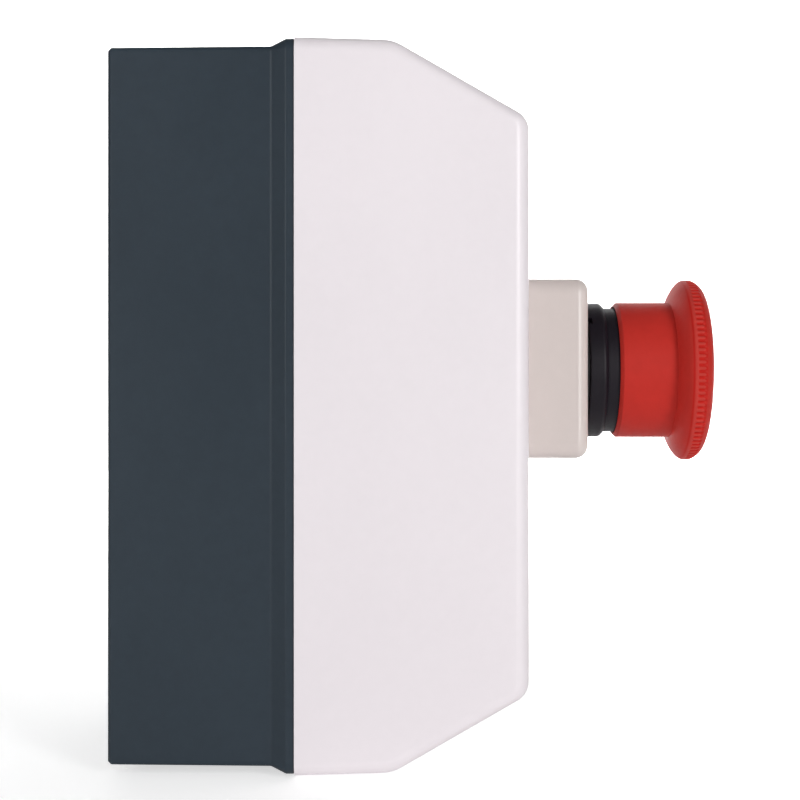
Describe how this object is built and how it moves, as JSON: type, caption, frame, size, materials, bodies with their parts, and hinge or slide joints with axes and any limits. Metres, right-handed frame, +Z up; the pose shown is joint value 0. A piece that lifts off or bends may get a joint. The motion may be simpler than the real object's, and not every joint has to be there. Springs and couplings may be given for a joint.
{
  "type": "enclosed motor starter with stop mushroom",
  "caption": "Wall-mounted control station: dark base, pale cover with sloped shoulders, flush start button and a twist-release red stop mushroom over an enclosed motor breaker.",
  "frame": {"origin": "middle of the flat back face, on the wall", "axes": "+Z up as it hangs on the wall, front faces -Y, +X to the right as seen from the front"},
  "size_m": [0.093, 0.1259, 0.1466],
  "materials": {
    "slate_abs": "fine satin texture, dark slate",
    "pale_abs": "smooth satin, pale pinkish white",
    "ivory_abs": "smooth satin, warm ivory",
    "black_nylon": "satin moulded",
    "red_nylon": "satin moulded with a fine knurl",
    "green_nylon": "satin moulded",
    "grey_nylon": "matte moulded",
    "white_nylon": "matte moulded",
    "black_rubber": "matte",
    "zinc_steel": "bright zinc",
    "spring_steel": "drawn wire",
    "brass": "satin",
    "copper": "enamelled copper wire"
  },
  "bodies": {
    "enclosure": {"cover_shell": "pale_abs", "base_shell": "slate_abs", "breaker_case": "grey_nylon", "stop_bezel": "black_nylon", "stop_collar": "ivory_abs", "earth_bar": "brass", "stop_spring": "spring_steel", "start_bezel": "black_nylon", "start_spring": "spring_steel", "collar_seal": "black_rubber", "trip_coil_1": "copper", "trip_coil_2": "copper", "trip_coil_3": "copper", "breaker_rear": "grey_nylon", "bezel_seal": "black_rubber", "cover_seal": "black_rubber", "cover_screw_top_left": "zinc_steel", "cover_screw_top_right": "zinc_steel", "cover_screw_bottom_left": "zinc_steel", "cover_screw_bottom_right": "zinc_steel", "rail_screw_left": "zinc_steel", "rail_screw_right": "zinc_steel", "earth_bar_screw_left": "zinc_steel", "earth_bar_screw_right": "zinc_steel", "earth_clamp_screw": "zinc_steel", "line_screw_1": "zinc_steel", "line_screw_2": "zinc_steel", "line_screw_3": "zinc_steel", "load_screw_1": "zinc_steel", "load_screw_2": "zinc_steel", "load_screw_3": "zinc_steel", "collar_screw_top_left": "zinc_steel", "collar_screw_top_right": "zinc_steel", "collar_screw_bottom_left": "zinc_steel", "collar_screw_bottom_right": "zinc_steel", "start_retainer": "grey_nylon", "din_rail": "zinc_steel", "lock_nut": "zinc_steel", "line_clamp_1": "brass", "line_clamp_2": "brass", "line_clamp_3": "brass", "load_clamp_1": "brass", "load_clamp_2": "brass", "load_clamp_3": "brass", "heater_strip_1": "brass", "heater_strip_2": "brass", "heater_strip_3": "brass"},
    "stop_plunger_body": {"stop_plunger": "white_nylon"},
    "mushroom_body": {"stop_mushroom": "red_nylon", "stop_sleeve": "black_nylon"},
    "breaker_stop_body": {"breaker_stop_button": "red_nylon"},
    "start_cap_body": {"start_cap": "green_nylon"},
    "breaker_start_body": {"breaker_start_button": "black_nylon"},
    "contact_body": {"contact_carrier": "black_nylon"},
    "dial_body": {"current_dial": "white_nylon"},
    "latch_body": {"breaker_latch": "black_nylon"}
  },
  "joints": [
    {"name": "stop_press", "type": "slide", "parent": "enclosure", "child": "stop_plunger_body", "axis": [0, 1, 0], "range_m": [0, 0.0018], "stiffness_N_per_m": 1500, "springref_m": -0.003, "deforming": ["stop_spring"]},
    {"name": "stop_twist", "type": "hinge", "parent": "stop_plunger_body", "child": "mushroom_body", "pos_m": [0, -0.115, 0.008], "axis": [0, 1, 0], "range_deg": [0, 45], "stiffness_Nm_per_rad": 0.05},
    {"name": "breaker_stop_press", "type": "slide", "parent": "enclosure", "child": "breaker_stop_body", "axis": [0, 1, 0], "range_m": [0, 0.0018]},
    {"name": "start_press", "type": "slide", "parent": "enclosure", "child": "start_cap_body", "axis": [0, 1, 0], "range_m": [0, 0.003], "stiffness_N_per_m": 800, "springref_m": -0.003, "deforming": ["start_spring"]},
    {"name": "breaker_start_press", "type": "slide", "parent": "enclosure", "child": "breaker_start_body", "axis": [0, 1, 0], "range_m": [0, 0.003]},
    {"name": "contact_travel", "type": "slide", "parent": "enclosure", "child": "contact_body", "axis": [0, 1, 0], "range_m": [0, 0.003]},
    {"name": "dial_turn", "type": "hinge", "parent": "enclosure", "child": "dial_body", "pos_m": [0, -0.062, -0.007], "axis": [0, 1, 0], "range_deg": [0, 270]},
    {"name": "latch_pull", "type": "slide", "parent": "enclosure", "child": "latch_body", "axis": [0, 0, -1], "range_m": [0, 0.004], "stiffness_N_per_m": 1200, "springref_m": -0.003}
  ],
  "couplings": [
    {"joint": "breaker_stop_press", "follows": "stop_press", "ratio": 1},
    {"joint": "breaker_start_press", "follows": "start_press", "ratio": 1},
    {"joint": "contact_travel", "follows": "start_press", "ratio": 1}
  ]
}
